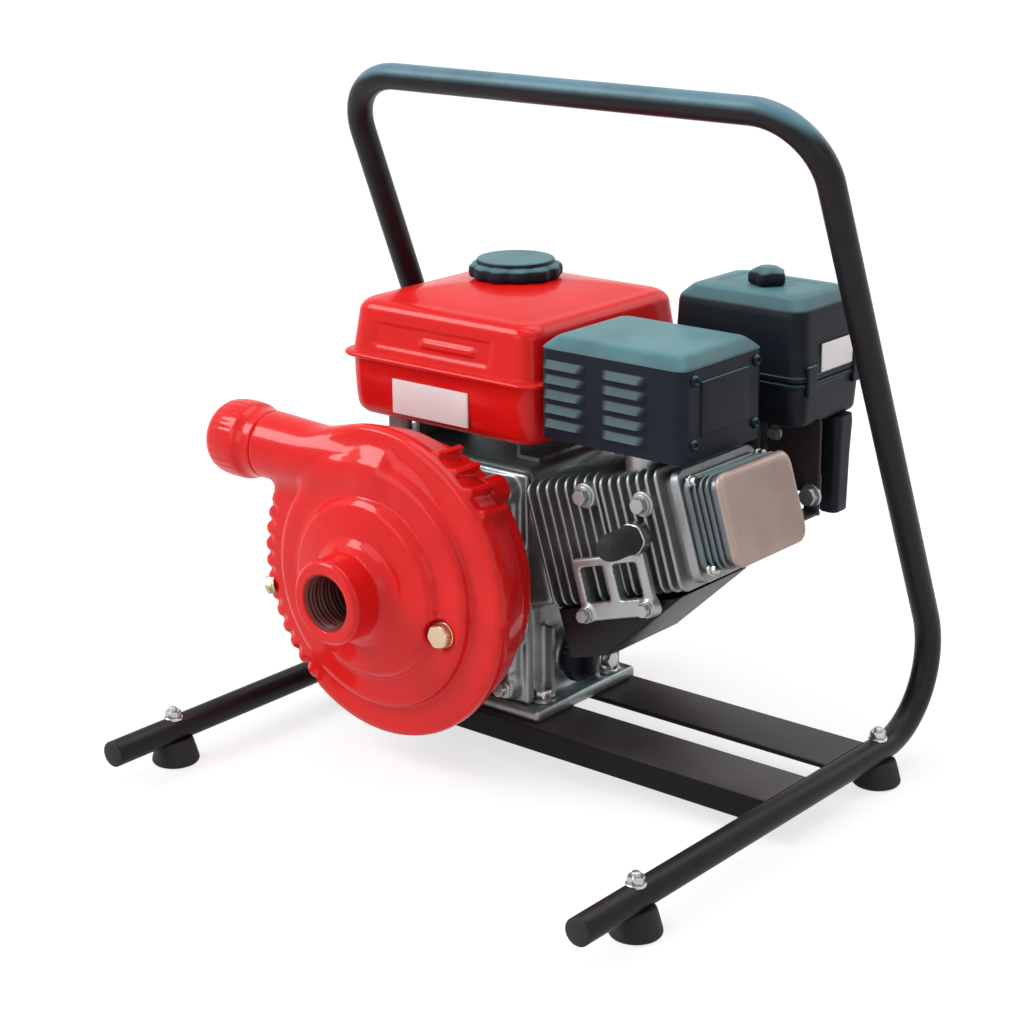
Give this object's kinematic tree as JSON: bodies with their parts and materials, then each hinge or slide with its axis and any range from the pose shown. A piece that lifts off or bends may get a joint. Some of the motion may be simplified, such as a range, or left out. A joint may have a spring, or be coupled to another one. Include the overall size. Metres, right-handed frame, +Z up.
{
  "type": "portable fire pump",
  "caption": "Red centrifugal pump driven by a small petrol engine with tank, guarded muffler and air cleaner, on a black bent-tube carrying frame with rubber feet.",
  "frame": {"origin": "middle of the footprint box, on the ground", "axes": "+Z up, -Y out of the suction mouth, -X out of the discharge coupling"},
  "size_m": [0.4718, 0.4562, 0.4904],
  "materials": {
    "black_plastic": "fine-grained moulded plastic",
    "brass": "machined",
    "carbon": "carbon seal face",
    "cast_aluminium": "as cast",
    "ceramic": "glazed",
    "foam": "oiled foam",
    "frame_black": "satin powder coat",
    "red_enamel": "gloss enamel",
    "rocker_silver": "warm silver paint",
    "rubber": "matt",
    "steel": "machined",
    "zinc": "bright zinc plate"
  },
  "bodies": {
    "root": {"air_cleaner_case": "black_plastic", "air_cleaner_cover": "black_plastic", "air_filter": "foam", "air_intake_duct": "black_plastic", "carburettor": "cast_aluminium", "control_plate": "zinc", "crankcase": "cast_aluminium", "crankcase_side_cover": "cast_aluminium", "cylinder_head": "cast_aluminium", "discharge_coupling": "red_enamel", "drain_plug": "brass", "engine_bolt_1": "zinc", "engine_bolt_2": "zinc", "engine_bolt_3": "zinc", "engine_bolt_4": "zinc", "exhaust_stub": "steel", "fan_housing": "black_plastic", "foot_front_left": "rubber", "foot_front_right": "rubber", "foot_rear_left": "rubber", "foot_rear_right": "rubber", "foot_stud_front_left": "zinc", "foot_stud_front_right": "zinc", "foot_stud_rear_left": "zinc", "foot_stud_rear_right": "zinc", "frame_tube": "frame_black", "front_bearer": "frame_black", "front_bearing": "steel", "fuel_tank": "red_enamel", "intake_elbow": "black_plastic", "lower_shroud": "frame_black", "muffler_can": "steel", "muffler_guard": "black_plastic", "piston": "cast_aluminium", "pump_adapter": "red_enamel", "pump_casing": "red_enamel", "rear_bearer": "frame_black", "rear_bearing": "steel", "recoil_cover": "red_enamel", "rocker_cover": "rocker_silver", "shaft_seal": "carbon", "spark_plug": "ceramic", "spark_plug_cap": "rubber", "tank_bracket": "cast_aluminium", "tube_plug_left": "rubber", "tube_plug_right": "rubber"},
    "rotor": {"crankshaft": "steel", "flywheel": "cast_aluminium", "impeller": "cast_aluminium", "impeller_nut": "zinc"},
    "starter_grip": {"starter_grip": "black_plastic"},
    "starter_pulley": {"starter_pulley": "black_plastic"},
    "fuel_cap": {"fuel_cap": "black_plastic"},
    "oil_filler_cap": {"oil_filler_cap": "black_plastic"},
    "air_cleaner_knob": {"air_cleaner_knob": "black_plastic"},
    "choke_lever": {"choke_lever": "black_plastic"},
    "fuel_valve_lever": {"fuel_valve_lever": "black_plastic"},
    "throttle_lever": {"throttle_lever": "black_plastic"},
    "engine_switch": {"engine_switch": "black_plastic"},
    "priming_plug": {"priming_plug": "brass"}
  },
  "joints": [
    {"name": "crank_spin", "type": "hinge", "parent": "root", "child": "rotor", "pos_m": [-0.0776, -0.0231, 0.14], "axis": [0, -1, 0], "continuous": true},
    {"name": "starter_pull", "type": "slide", "parent": "root", "child": "starter_grip", "axis": [-0.866, 0, 0.5], "range_m": [0, 0.6], "stiffness_N_per_m": 12, "springref_m": -0.25},
    {"name": "starter_pulley_turn", "type": "hinge", "parent": "root", "child": "starter_pulley", "pos_m": [-0.0776, -0.0231, 0.14], "axis": [0, -1, 0], "range_deg": [0, 882]},
    {"name": "fuel_cap_turn", "type": "hinge", "parent": "root", "child": "fuel_cap", "pos_m": [-0.0866, 0.0879, 0.333], "axis": [0, 0, 1], "range_deg": [0, 90]},
    {"name": "oil_cap_turn", "type": "hinge", "parent": "root", "child": "oil_filler_cap", "pos_m": [0.0004, 0.0369, 0.072], "axis": [1, 0, 0], "range_deg": [0, 720]},
    {"name": "cleaner_knob_turn", "type": "hinge", "parent": "root", "child": "air_cleaner_knob", "pos_m": [0.0984, 0.1439, 0.342], "axis": [0, 0, 1], "range_deg": [0, 1080]},
    {"name": "choke_turn", "type": "hinge", "parent": "root", "child": "choke_lever", "pos_m": [0.1037, 0.1212, 0.216], "axis": [-1, 0, 0], "range_deg": [0, 70]},
    {"name": "fuel_valve_turn", "type": "hinge", "parent": "root", "child": "fuel_valve_lever", "pos_m": [0.1037, 0.0992, 0.195], "axis": [-1, 0, 0], "range_deg": [0, 60]},
    {"name": "throttle_turn", "type": "hinge", "parent": "root", "child": "throttle_lever", "pos_m": [0.0244, 0.1129, 0.2216], "axis": [0, 0, -1], "range_deg": [0, 35]},
    {"name": "switch_turn", "type": "hinge", "parent": "root", "child": "engine_switch", "pos_m": [-0.00031, 0.1828, 0.20959], "axis": [0, 1, 0], "range_deg": [0, 45]},
    {"name": "priming_plug_turn", "type": "hinge", "parent": "root", "child": "priming_plug", "pos_m": [-0.00839, -0.0821, 0.12015], "axis": [0, -1, 0], "range_deg": [0, 720]}
  ],
  "couplings": [
    {"joint": "starter_pulley_turn", "follows": "starter_pull", "rad_per_m": 25.641}
  ]
}
